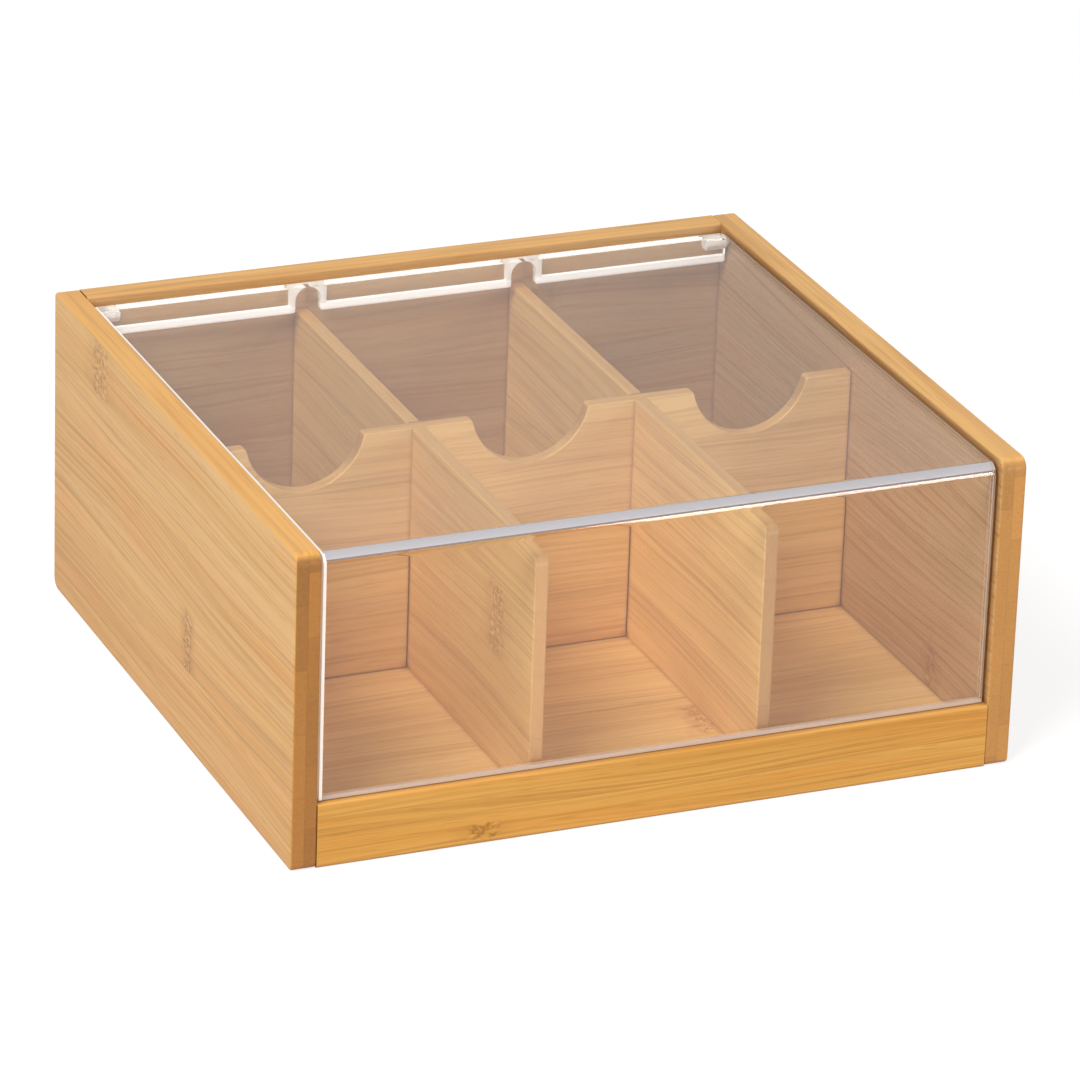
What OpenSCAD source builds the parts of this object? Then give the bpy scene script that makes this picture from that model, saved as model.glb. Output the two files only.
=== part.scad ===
// Tea bag organizer: a bamboo box with six pockets under a clear hinged lid.
// Millimetres. The box stands on z = 0, centred on x = 0 and y = 0, with its front at -y.

/* [Box] */
// Width of the box, side to side
body_w = 215; // [190:1:300]
// Depth of the box, front to back
body_d = 200; // [160:1:300]
// Height of the side and back boards
body_h = 93; // [78:1:130]
// Thickness of the side boards, the back board and the front rail
board_t = 7.5; // [6:0.5:10]
// Height of the front rail
rail_h = 19; // [16:1:28]
// Radius of the side boards' front top and rear bottom corners
corner_r = 3.5; // [2:0.5:6]
// Radius of the side boards' front bottom corners
foot_corner_r = 1.8; // [1.6:0.1:6]
// Radius of the side boards' rear top corners, flush with the back board
rear_corner_r = 1.2; // [1.2:0.1:6]
// Radius of the boards' eased edges
edge_r = 0.8; // [0.4:0.1:1]

/* [Floor] */
// Thickness of the floor panel
floor_t = 5; // [3:0.5:7]
// Height of the floor's underside above the table
floor_lift = 3; // [2:0.5:6]
// Depth of the grooves that hold the floor
groove_d = 3; // [2:0.5:4]
// Clearance round the floor's edges in the grooves
groove_gap = 0.15; // [0.05:0.05:0.4]

/* [Dividers] */
// Thickness of the dividers
div_t = 4; // [3:0.5:6]
// Radius of the long dividers' front top corners
div_corner_r = 3; // [2:0.5:8]
// Radius of the long dividers' eased edges
div_edge_r = 0.6; // [0.3:0.1:1.2]
// Clearance of the dividers' slots where they cross
lap_gap = 0.1; // [0.05:0.05:0.3]
// Width of a finger scoop at the top edge of the cross divider
scoop_w = 35; // [24:1:40]
// Depth of a finger scoop
scoop_d = 15; // [8:1:18]
// Radius of the rounded shoulders beside a finger scoop
shoulder_r = 1.5; // [1:0.5:2.5]

/* [Lid] */
// Thickness of the clear plastic
lid_t = 2.5; // [2:0.25:4]
// Depth of the lid's top below the top of the side boards
lid_drop = 1.7; // [0.5:0.1:4]
// Distance of the lid's front face behind the front of the box
lid_inset = 2; // [1:0.5:3]
// Gap between the lid and each side board
lid_side_gap = 1; // [0.5:0.1:2]
// Gap between the lid's rear face and the back board
lid_back_gap = 3.1; // [2.6:0.1:6]
// Gap between the closed lid and the front rail
lid_rest_gap = 0.3; // [0.2:0.1:1]
// Inside radius of the bend between the lid's top and front
bend_r = 1; // [0.5:0.25:3]
// Radius of the lid's rear top edge
lid_edge_r = 0.6; // [0.3:0.1:1.2]
// Height of the lid's rear lip, the top's thickness included
lip_h = 10.5; // [9:0.5:16]
// Gap between the rear lip and the dividers below it
lip_gap = 0.8; // [0.6:0.1:3]
// Clearance of a lip notch on each side of a divider
notch_gap = 2; // [1:0.5:3]

/* [Hinge] */
// Depth of the hinge's axis below the lid's top
hinge_drop = 3.2; // [3.2:0.1:4]
// Radius of the hinge bosses at the ends of the lip
boss_r = 3; // [2.6:0.1:3]
// Length of a hinge boss
boss_l = 6.5; // [4:0.5:12]
// Radius of the hinge pins moulded on the bosses
pin_r = 2; // [1.5:0.1:2.2]
// Depth that a pin reaches into its side board
pin_depth = 4.5; // [3:0.5:5]
// Radial clearance of a pin in its bore
pin_gap = 0.06; // [0.04:0.01:0.1]
// Depth of a bore beyond the tip of its pin
bore_spare = 0.5; // [0.3:0.1:0.8]
// Chamfer at a pin's tip
pin_chamfer = 0.5; // [0.2:0.1:0.8]

/* [Hidden] */
$fn = 64;
inner_w = body_w - 2 * board_t;
side_x = inner_w / 2;
rail_y = -body_d / 2 + board_t;
back_y = body_d / 2 - board_t;
inner_d = back_y - rail_y;
side_corners = [[foot_corner_r, corner_r], [corner_r, rear_corner_r]];

floor_top = floor_lift + floor_t;
groove_z = floor_lift - groove_gap;
groove_h = floor_t + 2 * groove_gap;

lid_w = inner_w - 2 * lid_side_gap;
lid_top = body_h - lid_drop;
lid_front = -body_d / 2 + lid_inset;
lid_back = back_y - lid_back_gap;
lid_bottom = rail_h + lid_rest_gap;
lip_bottom = lid_top - lip_h;
hinge_y = lid_back - lid_t / 2;
hinge_z = lid_top - hinge_drop;

div_top = lip_bottom - lip_gap;
div_h = div_top - floor_top;
lap_z = (floor_top + div_top) / 2;
slot_w = div_t + 2 * lap_gap;
pocket_w = (inner_w - 2 * div_t) / 3;
div_x = (pocket_w + div_t) / 2;

scoop_r = (scoop_w * scoop_w / 4 + scoop_d * scoop_d) / (2 * scoop_d);
notch_w = div_t + 2 * notch_gap;
cut = 1;

bamboo_pale = "#DDB27C";
bamboo_warm = "#D09A50";
clear_plastic = [0.86, 0.91, 0.93, 0.4];

// Rectangle with its four corners rounded
module rounded_rect(l, h, r) {
  translate([r, 0]) square([l - 2 * r, h]);
  translate([0, r]) square([l, h - 2 * r]);
  for (u = [r, l - r], v = [r, h - r]) translate([u, v]) circle(r);
}

// Section of the waste that rounding takes off an edge at the origin
module edge_waste(r) {
  difference() {
    translate([-cut, -cut]) square(r + cut);
    translate([r, r]) circle(r);
  }
}

// Waste along an edge that runs from u = from to u = to
module ease_along_u(from, to, r) {
  translate([from, 0, 0]) rotate([90, 0, 90]) linear_extrude(to - from) edge_waste(r);
}

// Waste along an edge that runs from v = from to v = to
module ease_along_v(from, to, r) {
  translate([0, to, 0]) rotate([90, 0, 0]) linear_extrude(to - from) edge_waste(r);
}

// Waste round a quarter corner of radius corner, centred on the origin, in the quadrant u < 0, v > 0
module ease_corner(corner, r) {
  rotate(90) rotate_extrude(angle = 90) translate([corner, 0]) mirror([1, 0]) edge_waste(r);
}

// Does the same thing to both faces of a board that lies on z = 0
module both_faces(t) {
  children();
  translate([0, 0, t]) mirror([0, 0, 1]) children();
}

// Board lying on z = 0 with every edge eased; corners[rear][top] are the radii of its corners
module eased_board(l, h, t, corners, r) {
  difference() {
    linear_extrude(t) difference() {
      square([l, h]);
      for (rear = [0, 1], top = [0, 1])
        translate([rear * l, top * h]) mirror([rear, 0]) mirror([0, top])
          edge_waste(corners[rear][top]);
    }
    both_faces(t) {
      for (top = [0, 1]) translate([0, top * h, 0]) mirror([0, top, 0])
        ease_along_u(corners[0][top], l - corners[1][top], r);
      for (rear = [0, 1]) translate([rear * l, 0, 0]) mirror([rear, 0, 0])
        ease_along_v(corners[rear][0], h - corners[rear][1], r);
      for (rear = [0, 1], top = [0, 1])
        translate([rear * l, top * h, 0]) mirror([rear, 0, 0]) mirror([0, top, 0])
          translate([corners[rear][top], corners[rear][top], 0]) mirror([0, 1, 0])
            ease_corner(corners[rear][top], r);
    }
  }
}

// Turns a board drawn in u, v so that u runs back along y, v up along z and its face looks to +x
module stand_along_y() {
  rotate([90, 0, 90]) children();
}

// Side board on the right: floor groove and hinge bore in its inner face
module side_board() {
  difference() {
    translate([side_x, -body_d / 2, 0]) stand_along_y()
      eased_board(body_d, body_h, board_t, side_corners, edge_r);
    translate([side_x - cut, rail_y - groove_d, groove_z])
      cube([groove_d + cut, inner_d + 2 * groove_d, groove_h]);
    translate([side_x - cut, hinge_y, hinge_z]) rotate([0, 90, 0])
      cylinder(r = pin_r + pin_gap, h = pin_depth + bore_spare + cut);
  }
}

// Board between the sides, its front face at y = front, with a floor groove in one face
module cross_board(front, h, groove_y) {
  difference() {
    translate([-side_x, front, 0]) rotate([90, 0, 90])
      linear_extrude(inner_w) rounded_rect(board_t, h, edge_r);
    translate([-side_x - cut, groove_y, groove_z])
      cube([inner_w + 2 * cut, groove_d + cut, groove_h]);
  }
}

// Long divider whose middle plane is x = 0, notched from above for the cross divider
module long_divider() {
  difference() {
    translate([-div_t / 2, rail_y, floor_top]) stand_along_y() difference() {
      linear_extrude(div_t) difference() {
        square([inner_d, div_h]);
        translate([0, div_h]) mirror([0, 1]) edge_waste(div_corner_r);
      }
      both_faces(div_t) {
        ease_along_v(-cut, div_h - div_corner_r, div_edge_r);
        translate([0, div_h, 0]) mirror([0, 1, 0])
          ease_along_u(div_corner_r, inner_d + cut, div_edge_r);
        translate([div_corner_r, div_h - div_corner_r, 0]) ease_corner(div_corner_r, div_edge_r);
      }
    }
    translate([-div_t, -slot_w / 2, lap_z - lap_gap])
      cube([2 * div_t, slot_w, div_top - lap_z + lap_gap + cut]);
  }
}

// Finger scoop in u, v: v = 0 is the top edge, and the shoulders beside it are rounded
module scoop() {
  rise = scoop_r - scoop_d;
  shoulder_u = sqrt(pow(scoop_r + shoulder_r, 2) - pow(rise + shoulder_r, 2));
  touch_v = -shoulder_r + shoulder_r * (rise + shoulder_r) / (scoop_r + shoulder_r);
  translate([0, rise]) circle(scoop_r);
  difference() {
    translate([-shoulder_u, touch_v]) square([2 * shoulder_u, cut - touch_v]);
    for (s = [-1, 1]) translate([s * shoulder_u, -shoulder_r]) circle(shoulder_r);
  }
}

// Lid section in u = y, v = z: front pane, bend, top and rear lip
module lid_section() {
  outer_r = bend_r + lid_t;
  difference() {
    translate([lid_front, lid_bottom]) square([lid_back - lid_front, lid_top - lid_bottom]);
    translate([lid_front, lid_top]) mirror([0, 1]) edge_waste(outer_r);
    translate([lid_back, lid_top]) rotate(180) edge_waste(lid_edge_r);
    difference() {
      translate([lid_front + lid_t, lid_bottom - cut])
        square([lid_back - lid_front - 2 * lid_t, lid_top - lid_t - lid_bottom + cut]);
      translate([lid_front + lid_t, lid_top - lid_t]) mirror([0, 1]) edge_waste(bend_r);
    }
    translate([lid_front + lid_t, lid_bottom - cut])
      square([lid_back - lid_front, lip_bottom - lid_bottom + cut]);
  }
}

// Notch through the rear lip over a divider, with a round top under the lid's top
module lip_notch() {
  translate([0, lid_back + cut, 0]) rotate([90, 0, 0]) linear_extrude(lid_t + 2 * cut) {
    translate([-notch_w / 2, lip_bottom - cut])
      square([notch_w, lip_h - lid_t - notch_w / 2 + cut]);
    translate([0, lid_top - lid_t - notch_w / 2]) circle(notch_w / 2);
  }
}

// Hinge boss at the right end of the lip, with its pin
module hinge_boss() {
  pin_l = lid_side_gap + pin_depth;
  translate([lid_w / 2, hinge_y, hinge_z]) rotate([0, 90, 0]) {
    translate([0, 0, -boss_l]) cylinder(r = boss_r, h = boss_l);
    cylinder(r = pin_r, h = pin_l - pin_chamfer);
    translate([0, 0, pin_l - pin_chamfer])
      cylinder(r1 = pin_r, r2 = pin_r - pin_chamfer, h = pin_chamfer);
  }
}

module left_side() {
  color(bamboo_pale) mirror([1, 0, 0]) side_board();
}

module right_side() {
  color(bamboo_pale) side_board();
}

module back_panel() {
  color(bamboo_pale) cross_board(back_y, body_h, back_y - cut);
}

module front_rail() {
  color(bamboo_warm) cross_board(-body_d / 2, rail_h, rail_y - groove_d);
}

module bottom_panel() {
  panel_w = inner_w + 2 * (groove_d - groove_gap);
  panel_d = inner_d + 2 * (groove_d - groove_gap);
  color(bamboo_pale) translate([-panel_w / 2, -panel_d / 2, floor_lift])
    cube([panel_w, panel_d, floor_t]);
}

module left_divider() {
  color(bamboo_warm) translate([-div_x, 0, 0]) long_divider();
}

module right_divider() {
  color(bamboo_warm) translate([div_x, 0, 0]) long_divider();
}

// Divider from side to side, with a finger scoop in each pocket and slots from below
module cross_divider() {
  color(bamboo_warm) translate([0, div_t / 2, 0]) rotate([90, 0, 0]) linear_extrude(div_t)
    difference() {
      translate([-side_x, floor_top]) square([inner_w, div_h]);
      for (i = [-1:1]) translate([i * (pocket_w + div_t), div_top]) scoop();
      for (s = [-1, 1]) translate([s * div_x - slot_w / 2, floor_top - cut])
        square([slot_w, lap_z - floor_top + lap_gap + cut]);
    }
}

module lid() {
  color(clear_plastic) {
    difference() {
      translate([-lid_w / 2, 0, 0]) rotate([90, 0, 90]) linear_extrude(lid_w) lid_section();
      for (s = [-1, 1]) translate([s * div_x, 0, 0]) lip_notch();
    }
    for (m = [0, 1]) mirror([m, 0, 0]) hinge_boss();
  }
}

left_side();
right_side();
back_panel();
front_rail();
bottom_panel();
left_divider();
right_divider();
cross_divider();
lid();
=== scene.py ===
"""Looks of a bamboo tea bag box with a clear hinged lid.

The boards are lacquered bamboo and the lid is moulded acrylic, shown in a plain studio.
"""
import math
from functools import partial

import bmesh
import bpy
from bpy.props import FloatProperty, FloatVectorProperty, PointerProperty, StringProperty
from mathutils import Matrix, Vector


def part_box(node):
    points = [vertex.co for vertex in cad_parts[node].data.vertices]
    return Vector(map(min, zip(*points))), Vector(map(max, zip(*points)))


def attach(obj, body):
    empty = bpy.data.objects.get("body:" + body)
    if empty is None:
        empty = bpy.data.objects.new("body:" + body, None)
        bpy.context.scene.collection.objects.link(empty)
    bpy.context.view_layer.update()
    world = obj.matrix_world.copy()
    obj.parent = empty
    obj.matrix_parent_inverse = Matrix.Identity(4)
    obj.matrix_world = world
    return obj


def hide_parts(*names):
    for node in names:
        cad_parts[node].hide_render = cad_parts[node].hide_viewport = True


bl_info = {
    "name": "Tea Bag Box",
    "version": (1, 0, 0),
    "blender": (4, 5, 0),
    "location": "3D View > Sidebar > Tea Box",
    "description": "Dresses the tea bag box in bamboo and clear acrylic and lights it in a plain studio",
    "category": "Object",
}

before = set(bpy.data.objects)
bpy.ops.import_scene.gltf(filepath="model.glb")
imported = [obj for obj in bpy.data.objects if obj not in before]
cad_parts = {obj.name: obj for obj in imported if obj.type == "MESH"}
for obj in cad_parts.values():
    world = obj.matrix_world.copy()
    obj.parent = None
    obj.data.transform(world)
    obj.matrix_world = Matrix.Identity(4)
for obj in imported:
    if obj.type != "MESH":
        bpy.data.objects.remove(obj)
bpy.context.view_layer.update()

MM = 0.001
AXIS = {"X": 0, "Y": 1, "Z": 2}
MATH, VECTOR, RANGE = "ShaderNodeMath", "ShaderNodeVectorMath", "ShaderNodeMapRange"
MIX, NOISE = "ShaderNodeMix", "ShaderNodeTexNoise"

# points closer than this are one, faces that turn less than this are one, and edges past this are eased
SAME_POINT = 0.001 * MM
SAME_FACE = math.radians(0.5)
SHARP = math.radians(40)

# half a glue line's full darkness, and half the whole line between strips and between plies, in mm
GLUE_CORE, STRIP_GLUE, PLY_GLUE = 0.08, 0.30, 0.25
# the plies reach this far past a board's faces in mm, so that no face lies between two of them
PLY_MARGIN = 0.1
# the fibres' drift in mm, along the grain and sideways
DRIFT_LONG, DRIFT_WIDE = 110, 6.0
# uneven steps that give each ply and strip its own part of a pattern
PLY_STEP, DRIFT_STEP, GRAIN_STEP = 17.3, 7.7, 41.0
# streaks of each pattern: length and width in mm, and detail
STREAKS = {"band": (260, 8.0, 0.0), "blush": (75, 9.0, 1.0), "streak": (150, 1.45, 1.0),
           "fibre": (70, 0.65, 0.0), "dash": (11, 0.75, 0.0)}
# layers of colour: pattern, where it starts and is full, its strength, and the wood's colour that it brings
WARM_PATCHES = (("blush", 0.48, 0.72, 0.55, "blush"),)
FIBRES = (("streak", 0.50, 0.74, 0.50, "streak"), ("fibre", 0.52, 0.72, 0.20, "streak"),
          ("fibre", 0.46, 0.30, 0.35, "light"), ("dash", 0.64, 0.78, 0.30, "streak"))
EDGE_LAYERS = (("blush", 0.46, 0.68, 0.5, "blush"), ("streak", 0.45, 0.75, 0.45, "streak"))
# depth of tone that the bands and the strip's own tone give, and where dark begins and is full
BAND_SHARE, BAND_START, TONE_SHARE, DEPTH_RANGE = 1.2, -0.3, 0.4, (0.15, 0.85)
SEAM_STRENGTH = 0.3
# noise per mm that bends a knuckle and that breaks its rings' lines, and where a line is broken and whole
WOBBLE, BREAKS, BREAK_RANGE = 0.35, 0.8, (0.36, 0.56)
# strength that is left of a line where it is broken
BROKEN_LINE = 0.1
# size of the rings through the board, in mm
RING_DEEP = 5.0
# how far the noise bends a knuckle along the grain, in mm times the length of its rings
SWAY = 13.6
# distances from a ring's line, in rings, over which the line fades and the pale fleck grows
LINE_FADE, FLECK_GROWTH, FLECK_STRENGTH = (0.05, 0.22), (0.12, 0.30), 0.75
# reach of a knuckle's core and blur in shares of its length, and of both in shares of its height
CORE_REACH, BLUR_REACH, TALL_REACH = (0.35, 0.55), (0.2, 1.2), (0.42, 0.52)
# strength of the blur, times the knuckle's length in mm, so a longer knuckle has a fainter blur
BLUR_STRENGTH = 3.6
# the faces turn to edge wood and to end grain over these shares of the normal
EDGE_TURN, END_TURN = (0.35, 0.95), (0.55, 0.9)
# where end grain turns from fibre to pore, and its brightness in both, from block to block and in the glue
PORE_RANGE, PORE_LIGHT, BLOCK_SPREAD, GLUE_DIM = (0.3, 0.75), (0.90, 0.80), 0.34, -0.10
# openness of a place that gets the full painted shade and of one that gets none
PAINTED_SHADE_OPENNESS = (0.15, 0.75)
# how much smoother and duller the lacquer gets over the fibres, and how strong their relief is
SMOOTHER, DULLER, LACQUER_RANGE, RELIEF = 0.05, 0.07, (0.3, 0.7), 0.5


def colour(text):
    """Linear RGBA of an sRGB colour written as six hex digits."""
    parts = [int(text[i:i + 2], 16) / 255 for i in (0, 2, 4)]
    linear = [c / 12.92 if c <= 0.04045 else ((c + 0.055) / 1.055) ** 2.4 for c in parts]
    return (*linear, 1.0)


def add_node(tree, kind, feeds=None, **settings):
    """Adds a node with its settings.

    Each feed is a value for that input, or a socket or node to link to it.
    """
    made = tree.nodes.new(kind)
    for name, value in settings.items():
        setattr(made, name, value)
    for name, value in (feeds or {}).items():
        if isinstance(value, bpy.types.Node):
            value = next(out for out in value.outputs if out.enabled)
        if isinstance(value, bpy.types.NodeSocket):
            tree.links.new(value, made.inputs[name])
        else:
            made.inputs[name].default_value = value
    return made


def new_material(name):
    """Empty node material with its output node."""
    mat = bpy.data.materials.new(name)
    mat.use_nodes = True
    mat.node_tree.nodes.clear()
    return mat, mat.node_tree, mat.node_tree.nodes.new("ShaderNodeOutputMaterial")


class BambooSettings(bpy.types.PropertyGroup):
    """Pattern sizes of the laminated bamboo."""
    strip_w: FloatProperty(name="Strip width", description="Width of a strip on a board's face, in mm",
                           default=18.9, min=5.0, max=40.0)
    first_strip: FloatProperty(name="First joint", description="Height of the lowest strip joint, in mm",
                               default=2.8, min=0.0, max=20.0)
    ply_t: FloatProperty(name="Ply thickness", description="Thickness of a layer of strips, in mm",
                         default=3.75, min=1.0, max=10.0)
    rail_strip_w: FloatProperty(name="Rail strip width",
                                description="Width of the rail's narrow strips, in mm",
                                default=4.75, min=2.0, max=20.0)
    roughness: FloatProperty(name="Roughness", description="Roughness of the satin lacquer",
                             default=0.42, min=0.05, max=1.0, subtype="FACTOR")
    fibre_depth: FloatProperty(name="Fibre depth",
                               description="Relief of the fibres under the lacquer, in mm",
                               default=0.006, min=0.0, max=0.2)
    # reach of the painted shade that a close neighbour gives
    painted_shade_reach: FloatProperty(name="Gap reach",
                             description="Distance in mm within which a neighbour darkens the wood",
                             default=3.0, min=0.1, max=20.0)


class BoardWood(bpy.types.PropertyGroup):
    """sRGB hex colours of the right side board and the back panel."""
    light: StringProperty(name="Light", description="Pale strips", default="CBA270")
    dark: StringProperty(name="Dark", description="Deeper strips", default="BE9460")
    streak: StringProperty(name="Streak", description="Dark fibres and joints", default="A8763F")
    blush: StringProperty(name="Blush", description="Warm patches along the grain", default="C68F52")
    edge: StringProperty(name="Edge", description="Long edges of the boards", default="E1AC62")
    end: StringProperty(name="End grain", description="End grain of the boards", default="AE7A3E")
    # the knuckle colour is also the colour of the painted shade near close neighbours
    knuckle: StringProperty(name="Knuckle", description="Rings in a knuckle", default="8C5A2B")


class LeftBoardWood(bpy.types.PropertyGroup):
    """sRGB hex colours of the left side board, whose end grain is darker."""
    light: StringProperty(name="Light", description="Pale strips", default="D1A361")
    dark: StringProperty(name="Dark", description="Deeper strips", default="C6934D")
    streak: StringProperty(name="Streak", description="Dark fibres and joints", default="A8763F")
    blush: StringProperty(name="Blush", description="Warm patches along the grain", default="D09048")
    edge: StringProperty(name="Edge", description="Long edges of the board", default="DFA658")
    end: StringProperty(name="End grain", description="End grain of the board", default="9B672D")
    # the knuckle colour is also the colour of the painted shade near close neighbours
    knuckle: StringProperty(name="Knuckle", description="Rings in a knuckle", default="84480C")


class RailWood(bpy.types.PropertyGroup):
    """sRGB hex colours of the caramel front rail."""
    light: StringProperty(name="Light", description="Pale strips", default="CD9848")
    dark: StringProperty(name="Dark", description="Deeper strips", default="C08836")
    streak: StringProperty(name="Streak", description="Dark fibres and joints", default="A06C24")
    blush: StringProperty(name="Blush", description="Warm patches along the grain", default="C98330")
    edge: StringProperty(name="Edge", description="Long edges of the rail", default="DFA658")
    end: StringProperty(name="End grain", description="End grain of the rail", default="AE7A40")
    # the knuckle colour is also the colour of the painted shade near close neighbours
    knuckle: StringProperty(name="Knuckle", description="Rings in a knuckle", default="8E5A1C")


class DividerWood(bpy.types.PropertyGroup):
    """sRGB hex colours of the thin dividers and the floor."""
    light: StringProperty(name="Light", description="Pale strips", default="F3C882")
    dark: StringProperty(name="Dark", description="Deeper strips", default="E7B970")
    streak: StringProperty(name="Streak", description="Dark fibres and joints", default="BE8649")
    blush: StringProperty(name="Blush", description="Warm patches along the grain", default="DEAB68")
    edge: StringProperty(name="Edge", description="Long edges of the dividers", default="DDA45C")
    end: StringProperty(name="End grain", description="End grain of the dividers", default="C08C54")
    # the knuckle colour is also the colour of the painted shade near close neighbours
    knuckle: StringProperty(name="Knuckle", description="Rings in a knuckle", default="B0742F")


class AcrylicSettings(bpy.types.PropertyGroup):
    """Look of the clear acrylic lid. Its colours are sRGB hex, and its edge colours are painted light and
    shade.
    """
    ior: FloatProperty(name="IOR", description="Index of refraction of acrylic",
                       default=1.49, min=1.3, max=1.7)
    roughness: FloatProperty(name="Roughness", description="Roughness of the moulded surface",
                             default=0.0, min=0.0, max=0.3, subtype="FACTOR")
    clear: StringProperty(name="Clear", description="The clear plate", default="FDFDFD")
    passing: StringProperty(name="Passing", description="Light that the plate lets through to the wood",
                            default="F8F9F9")
    # the colours from bend to far_side are painted light and shade: the bend's grey band, the dark shade
    # line under it, the glowing rims, the faint pale line, the glowing foot of the lip and the dark shade
    # beside the right board
    bend: StringProperty(name="Bend", description="Grey band in the bend", default="B4B0B3")
    shade: StringProperty(name="Shade", description="Dark line under the bend's band", default="746E70")
    rim: StringProperty(name="Rim", description="Milky edges", default="FFFAF4")
    faint_rim: StringProperty(name="Faint rim", description="Edges that hardly show", default="E2CFC2")
    lip_rim: StringProperty(name="Lip rim", description="Bright foot of the rear lip", default="FFFDFA")
    far_side: StringProperty(name="Far side", description="Edge beside the right board", default="9A8373")


class StudioSettings(bpy.types.PropertyGroup):
    """Camera, floor and light of the studio."""
    azimuth: FloatProperty(name="Azimuth", description="Direction the camera looks in, from +Y towards +X",
                           default=math.radians(23.173), subtype="ANGLE")
    elevation: FloatProperty(name="Elevation", description="Angle that the camera looks down at",
                             default=math.radians(23.587), subtype="ANGLE")
    roll: FloatProperty(name="Roll", description="Turn of the camera about its own axis",
                        default=math.radians(2.007), subtype="ANGLE")
    distance: FloatProperty(name="Distance", description="From the camera to the point that it aims at",
                            default=1.9087, unit="LENGTH")
    aim: FloatVectorProperty(name="Aim", description="Point in the middle of the picture",
                             default=(0.00446, -0.00122, 0.04145), subtype="XYZ", unit="LENGTH")
    lens: FloatProperty(name="Lens", description="Focal length on a 36 mm sensor, in mm", default=222.89)
    key_power: FloatProperty(name="Key power", description="Power of the large lamp at the left, in watts",
                             default=20.5, min=0.0)
    fill_power: FloatProperty(name="Fill power", description="Power of the low lamp in front, in watts",
                              default=6.7, min=0.0)
    ambient: FloatProperty(name="Ambient", description="Strength of the white surroundings on the object",
                           default=0.42, min=0.0, max=2.0)
    mirrored: FloatProperty(name="Mirrored",
                            description="Strength of the surroundings mirrored in the clear lid",
                            default=0.35, min=0.0, max=2.0)
    floor_colour: StringProperty(name="Floor colour", default="F6F6F6",
                                 description="sRGB hex colour of the floor that lights the wood")
    floor_shade: StringProperty(name="Floor shade", default="999999",
                                description="sRGB hex colour of what the lamps add to the floor in view")
    floor_glow: FloatProperty(name="Floor glow", description="White added to the floor in view",
                              default=0.78, min=0.0, max=2.0)


def laminate(add, w, t, face, strip_w, first, ply_t, seed):
    """Numbers the strips and plies and finds the lines where they are glued.

    Gives a number for each strip in each ply, its tone, and the glue lines between strips and plies.
    """
    from_face = add(MATH, {0: t, 1: face}, operation="SUBTRACT")
    ply_at = add(MATH, {0: from_face, 1: ply_t + PLY_MARGIN}, operation="DIVIDE")
    ply = add(MATH, {0: ply_at}, operation="FLOOR")
    # each ply is shifted by half a strip from the last
    offset = add(MATH, {0: ply, 1: 0.5, 2: -first / strip_w}, operation="MULTIPLY_ADD")
    strip_at = add(MATH, {0: w, 1: 1 / strip_w, 2: offset}, operation="MULTIPLY_ADD")
    strip = add(MATH, {0: add(MATH, {0: strip_at}, operation="FLOOR"), 1: seed}, operation="ADD")
    cell = add(MATH, {0: ply, 1: PLY_STEP, 2: strip}, operation="MULTIPLY_ADD")
    tone = add("ShaderNodeTexWhiteNoise", {"W": cell}, noise_dimensions="1D").outputs["Value"]
    # distance from the middle of a strip or ply, 0.5 at the glue
    in_strip = add(MATH, {0: add(MATH, {0: strip_at}, operation="FRACT"), 1: 0.5}, operation="SUBTRACT")
    in_strip = add(MATH, {0: in_strip}, operation="ABSOLUTE")
    joint = add(RANGE, {0: in_strip, 1: 0.5 - STRIP_GLUE / strip_w, 2: 0.5 - GLUE_CORE / strip_w})
    in_ply = add(MATH, {0: add(MATH, {0: ply_at}, operation="FRACT"), 1: 0.5}, operation="SUBTRACT")
    in_ply = add(MATH, {0: in_ply}, operation="ABSOLUTE")
    glue = add(RANGE, {0: in_ply, 1: 0.5 - PLY_GLUE / ply_t, 2: 0.5 - GLUE_CORE / ply_t})
    return cell, tone, joint, glue


def grain_patterns(add, g, w, t, cell, fineness):
    """Streaks of each pattern, with fibres that drift a little to and fro along each strip."""
    own_part = add(MATH, {0: cell, 1: DRIFT_STEP}, operation="MULTIPLY")
    along = add(MATH, {0: g, 1: 1 / DRIFT_LONG, 2: own_part}, operation="MULTIPLY_ADD")
    drift = add(NOISE, {"W": along, "Scale": 1.0, "Detail": 0.0}, noise_dimensions="1D").outputs["Fac"]
    w_drift = add(MATH, {0: drift, 1: DRIFT_WIDE * fineness, 2: w}, operation="MULTIPLY_ADD")
    t_cell = add(MATH, {0: cell, 1: GRAIN_STEP, 2: t}, operation="MULTIPLY_ADD")
    at = add("ShaderNodeCombineXYZ", {0: g, 1: w_drift, 2: t_cell})
    grains = {}
    for key, (long, wide, detail) in STREAKS.items():
        wide *= fineness
        scaled = add(VECTOR, {0: at, 1: (1 / long, 1 / wide, 1 / wide)}, operation="MULTIPLY")
        grains[key] = add(NOISE, {"Vector": scaled, "Scale": 1.0, "Detail": detail}).outputs["Fac"]
    return grains


def overlay(add, base, grains, layers, wood, contrast=1.0):
    """Lays those layers of colour over the base."""
    for key, low, high, strength, tint in layers:
        part = add(RANGE, {0: grains[key], 1: low, 2: high, 3: 0.0, 4: strength * contrast})
        base = add(MIX, {0: part, 6: base, 7: colour(getattr(wood, tint))}, data_type="RGBA")
    return base


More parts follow.
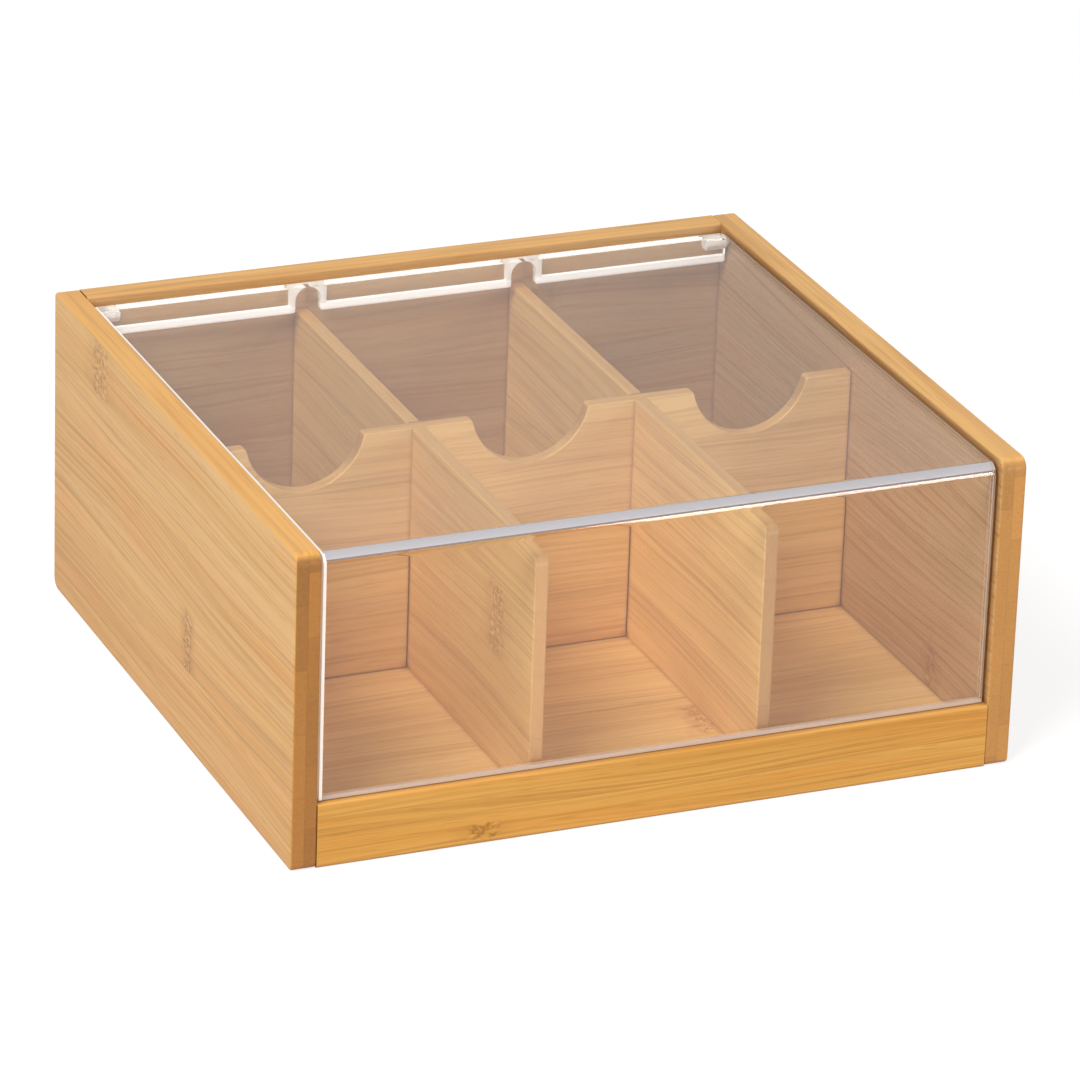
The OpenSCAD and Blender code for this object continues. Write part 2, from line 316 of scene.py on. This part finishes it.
def sanded_faces(add, tone, joint, grains, wood, contrast):
    """Colour of the boards' faces: tones from strip to strip, patches, fibres and fine joints."""
    depth = add(MATH, {0: grains["band"], 1: BAND_SHARE, 2: BAND_START}, operation="MULTIPLY_ADD")
    depth = add(MATH, {0: tone, 1: TONE_SHARE, 2: depth}, operation="MULTIPLY_ADD")
    deep = add(RANGE, {0: depth, 1: DEPTH_RANGE[0], 2: DEPTH_RANGE[1]})
    bare = add(MIX, {0: deep, 6: colour(wood.light), 7: colour(wood.dark)}, data_type="RGBA")
    bare = overlay(add, bare, grains, WARM_PATCHES, wood)
    bare = overlay(add, bare, grains, FIBRES, wood, contrast)
    seam = add(MATH, {0: joint, 1: SEAM_STRENGTH}, operation="MULTIPLY")
    return add(MIX, {0: seam, 6: bare, 7: colour(wood.streak)}, data_type="RGBA")


def knuckles(add, mm, g, w, t, bare, wood, marks, knot):
    """Draws knuckles on the faces: a darker blur across the strip, filled with small broken rings."""
    ring_long, ring_tall, ring_strength = knot
    sway = SWAY / ring_long
    wobble = add(NOISE, {"Vector": mm, "Scale": WOBBLE, "Detail": 1.0}).outputs["Fac"]
    broken = add(NOISE, {"Vector": mm, "Scale": BREAKS, "Detail": 0.0}).outputs["Fac"]
    broken = add(RANGE, {0: broken, 1: BREAK_RANGE[0], 2: BREAK_RANGE[1], 3: BROKEN_LINE, 4: 1.0})
    bent = add(MATH, {0: wobble, 1: sway, 2: g}, operation="MULTIPLY_ADD")
    ring_at = add("ShaderNodeCombineXYZ", {0: bent, 1: w, 2: t})
    rings_per_mm = (1 / ring_long, 1 / ring_tall, 1 / RING_DEEP)
    ring_at = add(VECTOR, {0: ring_at, 1: rings_per_mm}, operation="MULTIPLY")
    rings = add("ShaderNodeTexVoronoi", {"Vector": ring_at, "Scale": 1.0}, feature="DISTANCE_TO_EDGE")
    off_line = rings.outputs["Distance"]
    line = add(RANGE, {0: off_line, 1: LINE_FADE[0], 2: LINE_FADE[1], 3: ring_strength, 4: 0.0})
    line = add(MATH, {0: line, 1: broken}, operation="MULTIPLY")
    fleck = add(RANGE, {0: off_line, 1: FLECK_GROWTH[0], 2: FLECK_GROWTH[1], 3: 0.0, 4: FLECK_STRENGTH})
    for mark_g, mark_w, long, tall in marks:
        middle = mark_g + sway / 2
        off_g = add(MATH, {0: add(MATH, {0: bent, 1: middle}, operation="SUBTRACT")}, operation="ABSOLUTE")
        off_w = add(MATH, {0: add(MATH, {0: w, 1: mark_w}, operation="SUBTRACT")}, operation="ABSOLUTE")
        in_w = add(RANGE, {0: off_w, 1: tall * TALL_REACH[0], 2: tall * TALL_REACH[1], 3: 1.0, 4: 0.0})
        blur = add(RANGE, {0: off_g, 1: long * BLUR_REACH[0], 2: long * BLUR_REACH[1],
                           3: BLUR_STRENGTH / long, 4: 0.0})
        blur = add(MATH, {0: blur, 1: in_w}, operation="MULTIPLY")
        bare = add(MIX, {0: blur, 6: bare, 7: colour(wood.streak)}, data_type="RGBA")
        core = add(RANGE, {0: off_g, 1: long * CORE_REACH[0], 2: long * CORE_REACH[1], 3: 1.0, 4: 0.0})
        core = add(MATH, {0: core, 1: in_w}, operation="MULTIPLY")
        brown = add(MATH, {0: core, 1: line}, operation="MULTIPLY")
        bare = add(MIX, {0: brown, 6: bare, 7: colour(wood.knuckle)}, data_type="RGBA")
        pale = add(MATH, {0: core, 1: fleck}, operation="MULTIPLY")
        bare = add(MIX, {0: pale, 6: bare, 7: colour(wood.light)}, data_type="RGBA")
    return bare


def edges_and_ends(add, sides, ends, tone, joint, glue, grains, bare, wood):
    """Long edges show the strips' sides, and the ends show the strips cut across in blocks.

    sides and ends are the face normal's shares across the strips and along the grain.
    """
    sides = add(MATH, {0: sides}, operation="ABSOLUTE")
    edged = overlay(add, colour(wood.edge), grains, EDGE_LAYERS, wood)
    on_edge = add(RANGE, {0: sides, 1: EDGE_TURN[0], 2: EDGE_TURN[1]})
    edged = add(MIX, {0: on_edge, 6: bare, 7: edged}, data_type="RGBA")
    ends = add(MATH, {0: ends}, operation="ABSOLUTE")
    pores = add(RANGE, {0: grains["fibre"], 1: PORE_RANGE[0], 2: PORE_RANGE[1],
                        3: PORE_LIGHT[0], 4: PORE_LIGHT[1]})
    shade = add(MATH, {0: tone, 1: BLOCK_SPREAD, 2: pores}, operation="MULTIPLY_ADD")
    glued = add(MATH, {0: joint, 1: glue}, operation="MAXIMUM")
    lines = add(MATH, {0: glued, 1: GLUE_DIM, 2: shade}, operation="MULTIPLY_ADD")
    blocks = add(VECTOR, {0: colour(wood.end)[:3], "Scale": lines}, operation="SCALE")
    on_end = add(RANGE, {0: ends, 1: END_TURN[0], 2: END_TURN[1]})
    return add(MIX, {0: on_end, 6: edged, 7: blocks}, data_type="RGBA")


def bamboo(node, wood, grain, across, through, strip_w, first, ply_t, seed=0, fineness=1.0, contrast=1.0,
           marks=(), knot=(1.7, 3.2, 0.5)):
    """Flat-pressed bamboo: long strips glued side by side in plies, sanded and lacquered satin.

    The eye gets fine straight fibres along each strip, a change of tone from strip to strip, warm patches,
    a darker end grain in blocks and here and there the knuckle of a culm, a knot of small brown rings.
    grain, across and through are the row axes along the fibres, over the strips and through the plies, and
    seed picks the strips' tones.
    A mark is the place along the grain, the place across it, the length and the height of a knuckle in mm.
    knot is the length and height of its rings in mm, and their strength.
    """
    look = bpy.context.scene.tea_bamboo
    mat, tree, out = new_material("bamboo_" + node)
    add = partial(add_node, tree)
    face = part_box(node)[0][AXIS[through]] / MM - PLY_MARGIN
    place = add("ShaderNodeTexCoord")
    mm = add(VECTOR, {0: place.outputs["Object"], "Scale": 1 / MM}, operation="SCALE")
    axes = add("ShaderNodeSeparateXYZ", {0: mm})
    g, w, t = (axes.outputs[AXIS[a]] for a in (grain, across, through))

    cell, tone, joint, glue = laminate(add, w, t, face, strip_w, first, ply_t, seed)
    grains = grain_patterns(add, g, w, t, cell, fineness)
    bare = sanded_faces(add, tone, joint, grains, wood, contrast)
    if marks:
        bare = knuckles(add, mm, g, w, t, bare, wood, marks, knot)
    facing = add("ShaderNodeSeparateXYZ", {0: place.outputs["Normal"]})
    sides, ends = facing.outputs[AXIS[across]], facing.outputs[AXIS[grain]]
    final = edges_and_ends(add, sides, ends, tone, joint, glue, grains, bare, wood)

    # painted shade: where ambient occlusion finds a neighbour close by, the wood is darkened towards the
    # knuckle colour, as in the narrow gap beside the lid's edge, in corners and at joints
    reach = look.painted_shade_reach * MM
    open_sky = add("ShaderNodeAmbientOcclusion", {"Distance": reach}, samples=4).outputs["AO"]
    dim = add(RANGE, {0: open_sky, 1: PAINTED_SHADE_OPENNESS[0], 2: PAINTED_SHADE_OPENNESS[1], 3: 1.0, 4: 0.0})
    final = add(MIX, {0: dim, 6: final, 7: colour(wood.knuckle)}, data_type="RGBA")

    smooth, dull = look.roughness - SMOOTHER, look.roughness + DULLER
    rough = add(RANGE, {0: grains["fibre"], 1: LACQUER_RANGE[0], 2: LACQUER_RANGE[1], 3: smooth, 4: dull})
    relief = add("ShaderNodeBump", {"Height": grains["fibre"], "Strength": RELIEF,
                                    "Distance": look.fibre_depth * MM})
    shader = add("ShaderNodeBsdfPrincipled", {
        "Base Color": final, "Roughness": rough, "Normal": relief, "Specular IOR Level": 0.3})
    tree.links.new(shader.outputs[0], out.inputs[0])
    return mat


def dress(node, *pattern, **choices):
    """Gives a CAD board its bamboo finish."""
    mat = bamboo(node, *pattern, **choices)
    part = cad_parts[node]
    part.data.materials.clear()
    part.data.materials.append(mat)


def acrylic():
    """Clear moulded acrylic: water-clear and glossy.

    Rays from lamps and from lit surfaces pass straight through, so the pockets are lit without caustics.
    """
    look = bpy.context.scene.tea_acrylic
    mat, tree, out = new_material("clear_moulded_acrylic")
    body = add_node(tree, "ShaderNodeBsdfPrincipled", {
        "Base Color": colour(look.clear), "Roughness": look.roughness, "IOR": look.ior,
        "Transmission Weight": 1.0})
    passing = add_node(tree, "ShaderNodeBsdfTransparent", {"Color": colour(look.passing)})
    ray = add_node(tree, "ShaderNodeLightPath")
    straight = add_node(tree, MATH, {0: ray.outputs["Is Shadow Ray"], 1: ray.outputs["Is Diffuse Ray"]},
                        operation="MAXIMUM")
    mix = add_node(tree, "ShaderNodeMixShader", {0: straight, 1: body, 2: passing})
    tree.links.new(mix.outputs[0], out.inputs[0])
    return mat


def acrylic_painted_edge(name, tint, alpha, roughness, glow=0.0):
    """Edge of clear acrylic, painted with light and shade: a painted glow or pale line where the light led
    inside the plate comes out, or a painted dark line of shade.

    It shows as a pale or dark line that hides what is behind.
    """
    mat, tree, out = new_material(name)
    shader = add_node(tree, "ShaderNodeBsdfPrincipled", {
        "Base Color": colour(tint), "Roughness": roughness, "IOR": bpy.context.scene.tea_acrylic.ior,
        "Alpha": alpha, "Emission Color": colour(tint), "Emission Strength": glow})
    tree.links.new(shader.outputs[0], out.inputs[0])
    return mat


def merged_copy(node):
    """Copy of a CAD node's mesh with its triangles joined to whole faces, ready for bevels."""
    mesh = bmesh.new()
    mesh.from_mesh(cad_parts[node].data)
    bmesh.ops.remove_doubles(mesh, verts=mesh.verts, dist=SAME_POINT)
    bmesh.ops.dissolve_limit(mesh, angle_limit=SAME_FACE, verts=mesh.verts, edges=mesh.edges)
    return mesh


def sharp_edges(mesh):
    """Edges that a mould or a sander rounds."""
    return [edge for edge in mesh.edges if edge.is_manifold and edge.calc_face_angle() > SHARP]


def ease(mesh, edges, width, segments):
    """Rounds the edges over that width."""
    bmesh.ops.bevel(mesh, geom=edges, offset=width, offset_type="OFFSET", segments=segments, profile=0.5,
                    affect="EDGES", clamp_overlap=True, material=-1)


def stand_in(mesh, name, node, body, slot, *materials):
    """Makes the mesh a piece that rides on the body and stands for the CAD node."""
    data = bpy.data.meshes.new(name)
    for face in mesh.faces:
        face.smooth = True
    mesh.to_mesh(data)
    mesh.free()
    for mat in materials:
        data.materials.append(mat)
    piece = bpy.data.objects.new(name, data)
    bpy.context.scene.collection.objects.link(piece)
    even = piece.modifiers.new("even_normals", "WEIGHTED_NORMAL")
    even.weight = 100
    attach(piece, body)
    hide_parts(node)


class TEABOX_OT_side_boards(bpy.types.Operator):
    """Finishes the two side boards in wide-strip bamboo"""
    bl_idname = "teabox.side_boards"
    bl_label = "Side boards"

    def execute(self, context):
        look = context.scene.tea_bamboo
        strips = (look.strip_w, look.first_strip, look.ply_t)
        dress("left_side", context.scene.tea_left_wood, "Y", "Z", "X", *strips, seed=151,
              marks=((-16.5, 32.2, 6.0, 18.9), (59.0, 84.0, 13.0, 17.0)))
        dress("right_side", context.scene.tea_board_wood, "Y", "Z", "X", *strips, seed=207, contrast=1.3,
              marks=((34.0, 50.0, 6.0, 18.9), (-62.0, 12.2, 6.0, 18.9)))
        return {"FINISHED"}


class TEABOX_OT_back_panel(bpy.types.Operator):
    """Finishes the back panel in wide-strip bamboo with the grain from side to side"""
    bl_idname = "teabox.back_panel"
    bl_label = "Back panel"

    def execute(self, context):
        look = context.scene.tea_bamboo
        dress("back_panel", context.scene.tea_board_wood, "X", "Z", "Y",
              look.strip_w, look.first_strip, look.ply_t, seed=60, contrast=0.8,
              marks=((40.0, 69.0, 6.0, 18.9), (-55.0, 31.2, 6.0, 18.9)))
        return {"FINISHED"}


class TEABOX_OT_front_rail(bpy.types.Operator):
    """Finishes the front rail in narrow-strip bamboo of a warmer colour"""
    bl_idname = "teabox.front_rail"
    bl_label = "Front rail"

    def execute(self, context):
        look = context.scene.tea_bamboo
        first_joint = 0.3
        dress("front_rail", context.scene.tea_rail_wood, "X", "Z", "Y",
              look.rail_strip_w, first_joint, look.ply_t, fineness=0.75, contrast=1.15,
              marks=((-51.5, 3.9, 9.5, 4.9),), knot=(6.0, 1.7, 0.7))
        return {"FINISHED"}


class TEABOX_OT_floor_panel(bpy.types.Operator):
    """Finishes the floor panel"""
    bl_idname = "teabox.floor_panel"
    bl_label = "Floor panel"

    def execute(self, context):
        first_joint, panel_t = 2.0, 5.0
        dress("bottom_panel", context.scene.tea_divider_wood, "X", "Y", "Z",
              context.scene.tea_bamboo.strip_w, first_joint, panel_t, seed=80, contrast=0.8,
              marks=((30.0, -60.0, 6.0, 18.9), (-70.0, 45.0, 6.0, 18.9)))
        return {"FINISHED"}


class TEABOX_OT_dividers(bpy.types.Operator):
    """Finishes the two long dividers, and rounds and finishes the cross divider"""
    bl_idname = "teabox.dividers"
    bl_label = "Dividers"

    def execute(self, context):
        wood = context.scene.tea_divider_wood
        first_joint, board_t, easing = 7.0, 4.0, 0.5 * MM
        strips = (context.scene.tea_bamboo.strip_w, first_joint, board_t)
        # seeds that give the left divider deeper strips than the right one
        dress("left_divider", wood, "Y", "Z", "X", *strips, seed=310, contrast=0.8,
              marks=((-66.0, 51.0, 10.0, 22.0),))
        dress("right_divider", wood, "Y", "Z", "X", *strips, seed=38, contrast=0.8,
              marks=((20.0, 36.0, 6.0, 18.9),))
        mesh = merged_copy("cross_divider")
        ease(mesh, sharp_edges(mesh), easing, 2)
        finish = bamboo("cross_divider", wood, "X", "Z", "Y", *strips, seed=21, contrast=0.8,
                        marks=((52.0, 40.0, 6.0, 18.9),))
        stand_in(mesh, "cross_divider_board", "cross_divider", "box", "bamboo_divider", finish)
        return {"FINISHED"}


# easing of the lid's edges and of the bead along the lip's lower edge
RIM_EASING, BEAD_EASING = 0.35 * MM, 0.9 * MM
# places on the closed lid in mm: the pins start here and stay as they are
PINS_X = 99.2
# the rear lip's front, its lower edge, the slack in finding it, and the top of its band of painted glow
LIP_Y, LIP_BOTTOM, SLACK = 86, 80.8, 0.1
LIP_BAND = LIP_BOTTOM + 2.4
# height of the painted faint pale line along the pane's foot
FOOT_BAND = 1.2
# inner end of the left edge's painted glow, which is narrower on top, and both ends of the painted pale
# line in the right edge
LEFT_X, LEFT_TOP_X, RIGHT_X, FAR_X = -98.1, -98.4, 98.1, 98.35
# the side edges end before the bosses, and the plate's upper face is above this
SIDES_END_Y, UPPER_Z = 84, 91
# middle of a notch, and half the width of the painted glowing frame round it
NOTCH_X, NOTCH_FRAME = 34, 5.7
# the bend begins here, and so does the plate's rear edge
BEND_Y, BEND_Z, REAR_Y, REAR_Z = -94.4, 87.7, 89.0, 90.4
# the pins' axis, the bosses' size round it and where they start
PIN_Y, PIN_Z, BOSS_R, BOSS_X = 88.15, 88.1, 3.2, 92.0
# the bend's painted grey band and the painted dark line of shade under it reach down to faces that look up
# this much
BAND_UP, LINE_UP = 0.55, 0.42
# shares of the normal: forwards in the bend, up on a flat face, and outwards on the right edge
BEND_FORWARD, FLAT_UP, OUTWARD = 0.08, 0.98, 0.5
# finishes of the lid; all but CLEAR are painted light and shade: the bend's painted grey band, painted
# glowing rims, a painted faint pale line, a painted dark shade line under the band, painted dark shade
# beside the right board and the lip's painted glowing foot
CLEAR, BEND, RIM, FAINT_PALE_LINE, SHADE, FAR_SIDE_SHADE, GLOWING_LIP_RIM = range(7)


def lid_finish(face, foot_top):
    """Index of the finish that a face of the closed lid has."""
    x, y, z = face.calc_center_median() / MM
    nx, ny, nz = face.normal
    beside = y < SIDES_END_Y
    left = beside and x < (LEFT_TOP_X if z > UPPER_Z else LEFT_X)
    rear = y > REAR_Y and z > REAR_Z
    boss = math.hypot(y - PIN_Y, z - PIN_Z) < BOSS_R and abs(x) > BOSS_X
    notch = y > LIP_Y and abs(abs(x) - NOTCH_X) < NOTCH_FRAME and abs(nz) < FLAT_UP
    curved = y < BEND_Y and z > BEND_Z and ny < -BEND_FORWARD
    if beside and x > FAR_X and nx > OUTWARD:
        return FAR_SIDE_SHADE
    if (beside and RIGHT_X < x < FAR_X) or (z < foot_top and not left):
        return FAINT_PALE_LINE
    if y > LIP_Y and z < LIP_BAND:
        return GLOWING_LIP_RIM
    if left or rear or boss or notch:
        return RIM
    if curved and nz > LINE_UP:
        return BEND if nz > BAND_UP else SHADE
    return CLEAR


class TEABOX_OT_lid(bpy.types.Operator):
    """Rounds the lid's edges as moulded and finishes it in clear acrylic, with painted glows, pale lines
    and dark lines of shade on its edges
    """
    bl_idname = "teabox.lid"
    bl_label = "Lid"

    def execute(self, context):
        look = context.scene.tea_acrylic
        mesh = merged_copy("lid")
        rims, bead = [], []
        for edge in sharp_edges(mesh):
            middle = (edge.verts[0].co + edge.verts[1].co) / 2 / MM
            if abs(middle.x) < PINS_X:
                on_foot = middle.y > LIP_Y and middle.z < LIP_BOTTOM + SLACK
                (bead if on_foot else rims).append(edge)
        ease(mesh, bead, BEAD_EASING, 3)
        ease(mesh, [edge for edge in rims if edge.is_valid], RIM_EASING, 2)

        # the mesh is cut where one finish ends and the next begins
        foot_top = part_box("lid")[0].z / MM + FOOT_BAND
        frame_x = [side * (NOTCH_X + way * NOTCH_FRAME) for side in (-1, 1) for way in (-1, 1)]
        cuts = [((x, 0, 0), (1, 0, 0)) for x in (LEFT_X, LEFT_TOP_X, RIGHT_X, FAR_X, *frame_x)]
        cuts += [((0, 0, z), (0, 0, 1)) for z in (foot_top, LIP_BAND)]
        for place, across in cuts:
            bmesh.ops.bisect_plane(mesh, geom=mesh.verts[:] + mesh.edges[:] + mesh.faces[:],
                                   dist=SAME_POINT, plane_co=Vector(place) * MM, plane_no=across)
        for face in mesh.faces:
            face.material_index = lid_finish(face, foot_top)
        stand_in(mesh, "clear_lid", "lid", "lid", "clear_acrylic",
                 acrylic(),
                 acrylic_painted_edge("acrylic_bend_painted_band", look.bend, alpha=0.92, roughness=0.06),
                 acrylic_painted_edge("acrylic_rim_painted_glow", look.rim, alpha=0.80, roughness=0.25, glow=0.10),
                 acrylic_painted_edge("acrylic_faint_rim_painted_line", look.faint_rim, alpha=0.45, roughness=0.25),
                 acrylic_painted_edge("acrylic_bend_painted_shade", look.shade, alpha=0.85, roughness=0.4),
                 acrylic_painted_edge("acrylic_far_side_painted_shade", look.far_side, alpha=0.80, roughness=0.3),
                 acrylic_painted_edge("acrylic_lip_rim_painted_glow", look.lip_rim, alpha=0.93, roughness=0.15, glow=0.28))
        return {"FINISHED"}


def seen_directly(tree):
    """Node that gives 1 for camera rays, reflections and what is seen through, and 0 for lighting rays."""
    ray = add_node(tree, "ShaderNodeLightPath")
    seen = add_node(tree, MATH, {0: ray.outputs["Is Camera Ray"], 1: ray.outputs["Is Transmission Ray"]},
                    operation="MAXIMUM")
    return add_node(tree, MATH, {0: seen, 1: ray.outputs["Is Glossy Ray"]}, operation="MAXIMUM")


def aim_camera(scene, look):
    """Sets the camera at the photograph's viewing angle."""
    level = math.cos(look.elevation)
    forward = Vector((math.sin(look.azimuth) * level, math.cos(look.azimuth) * level,
                      -math.sin(look.elevation)))
    aim = Vector(look.aim)
    camera = bpy.data.cameras.new("camera")
    camera.lens = look.lens
    camera.sensor_width = 36.0
    camera.clip_end = 20.0
    holder = bpy.data.objects.new("camera", camera)
    turn = forward.to_track_quat("-Z", "Y").to_matrix().to_4x4() @ Matrix.Rotation(look.roll, 4, "Z")
    holder.matrix_world = Matrix.Translation(aim - forward * look.distance) @ turn
    scene.collection.objects.link(holder)
    scene.camera = holder


def lay_floor(scene, look):
    """Lays a plain white floor just under the object, which keeps the object's shadow."""
    half_width, drop = 3.0, 0.1 * MM
    mesh = bmesh.new()
    bmesh.ops.create_grid(mesh, x_segments=1, y_segments=1, size=half_width)
    bmesh.ops.translate(mesh, verts=mesh.verts, vec=(0, 0, -drop))
    data = bpy.data.meshes.new("studio_floor")
    mesh.to_mesh(data)
    mesh.free()
    floor = bpy.data.objects.new("studio_floor", data)
    scene.collection.objects.link(floor)
    mat, tree, out = new_material("white_studio_floor")
    shade = add_node(tree, "ShaderNodeBsdfDiffuse", {"Color": colour(look.floor_shade)})
    white = add_node(tree, "ShaderNodeEmission", {"Color": (1, 1, 1, 1), "Strength": look.floor_glow})
    shown = add_node(tree, "ShaderNodeAddShader", {0: shade, 1: white})
    pale = add_node(tree, "ShaderNodeBsdfDiffuse", {"Color": colour(look.floor_colour)})
    both = add_node(tree, "ShaderNodeMixShader", {0: seen_directly(tree), 1: pale, 2: shown})
    tree.links.new(both.outputs[0], out.inputs[0])
    data.materials.append(mat)


def surround(scene, look):
    """Surrounds the object with white: full in view, weaker as light and as mirrored in the lid."""
    world = bpy.data.worlds.new("white_surroundings")
    scene.world = world
    world.use_nodes = True
    tree = world.node_tree
    tree.nodes.clear()
    out = tree.nodes.new("ShaderNodeOutputWorld")
    strength = add_node(tree, MIX, {0: seen_directly(tree), 2: look.ambient, 3: 1.0}, data_type="FLOAT")
    ray = add_node(tree, "ShaderNodeLightPath")
    sharp = add_node(tree, MATH, {0: ray.outputs["Is Reflection Ray"], 1: ray.outputs["Is Singular Ray"]},
                     operation="MULTIPLY")
    strength = add_node(tree, MIX, {0: sharp, 2: strength, 3: look.mirrored}, data_type="FLOAT")
    back = add_node(tree, "ShaderNodeBackground", {"Color": (1, 1, 1, 1), "Strength": strength})
    tree.links.new(back.outputs[0], out.inputs[0])


def lamp(name, place, aim, size, power):
    """Soft lamp of that width and height, turned to the aim."""
    data = bpy.data.lights.new(name, "AREA")
    data.shape = "RECTANGLE"
    data.size, data.size_y = size
    data.energy = power
    made = bpy.data.objects.new(name, data)
    made.location = place
    made.rotation_euler = (Vector(aim) - Vector(place)).to_track_quat("-Z", "Y").to_euler()
    bpy.context.scene.collection.objects.link(made)


class TEABOX_OT_studio(bpy.types.Operator):
    """Sets the camera, a plain white floor, pale surroundings and two soft lamps"""
    bl_idname = "teabox.studio"
    bl_label = "Studio"

    def execute(self, context):
        scene = context.scene
        look = scene.tea_studio
        scene.view_settings.view_transform = "Standard"
        aim_camera(scene, look)
        lay_floor(scene, look)
        surround(scene, look)
        lamp("key_lamp", place=(-0.85, -0.62, 1.25), aim=(0, 0, 0.04), size=(0.7, 0.7),
             power=look.key_power)
        lamp("fill_lamp", place=(0.655, -1.385, 0.33), aim=(0.05, 0, 0.05), size=(0.26, 0.55),
             power=look.fill_power)
        return {"FINISHED"}


STEPS = (TEABOX_OT_side_boards, TEABOX_OT_back_panel, TEABOX_OT_front_rail, TEABOX_OT_floor_panel,
         TEABOX_OT_dividers, TEABOX_OT_lid, TEABOX_OT_studio)


class TEABOX_PT_panel(bpy.types.Panel):
    """Steps and settings of the tea bag box"""
    bl_idname = "TEABOX_PT_panel"
    bl_label = "Tea Box"
    bl_space_type = "VIEW_3D"
    bl_region_type = "UI"
    bl_category = "Tea Box"

    def draw(self, context):
        for step in STEPS:
            self.layout.operator(step.bl_idname)
        for setting in SETTINGS:
            group = getattr(context.scene, setting)
            box = self.layout.box()
            for name in group.bl_rna.properties.keys():
                if name not in ("rna_type", "name"):
                    box.prop(group, name)


SETTINGS = {"tea_bamboo": BambooSettings, "tea_board_wood": BoardWood, "tea_left_wood": LeftBoardWood,
            "tea_rail_wood": RailWood, "tea_divider_wood": DividerWood, "tea_acrylic": AcrylicSettings,
            "tea_studio": StudioSettings}
CLASSES = (*SETTINGS.values(), *STEPS, TEABOX_PT_panel)


def register():
    """Registers the classes and their settings."""
    for cls in CLASSES:
        bpy.utils.register_class(cls)
    for name, group in SETTINGS.items():
        setattr(bpy.types.Scene, name, PointerProperty(type=group))


def unregister():
    """Removes the classes and their settings."""
    for name in SETTINGS:
        delattr(bpy.types.Scene, name)
    for cls in reversed(CLASSES):
        bpy.utils.unregister_class(cls)


def main():
    """Registers the add-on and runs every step."""
    register()
    for step in STEPS:
        group, name = step.bl_idname.split(".")
        getattr(getattr(bpy.ops, group), name)()


if __name__ == "__main__":
    main()
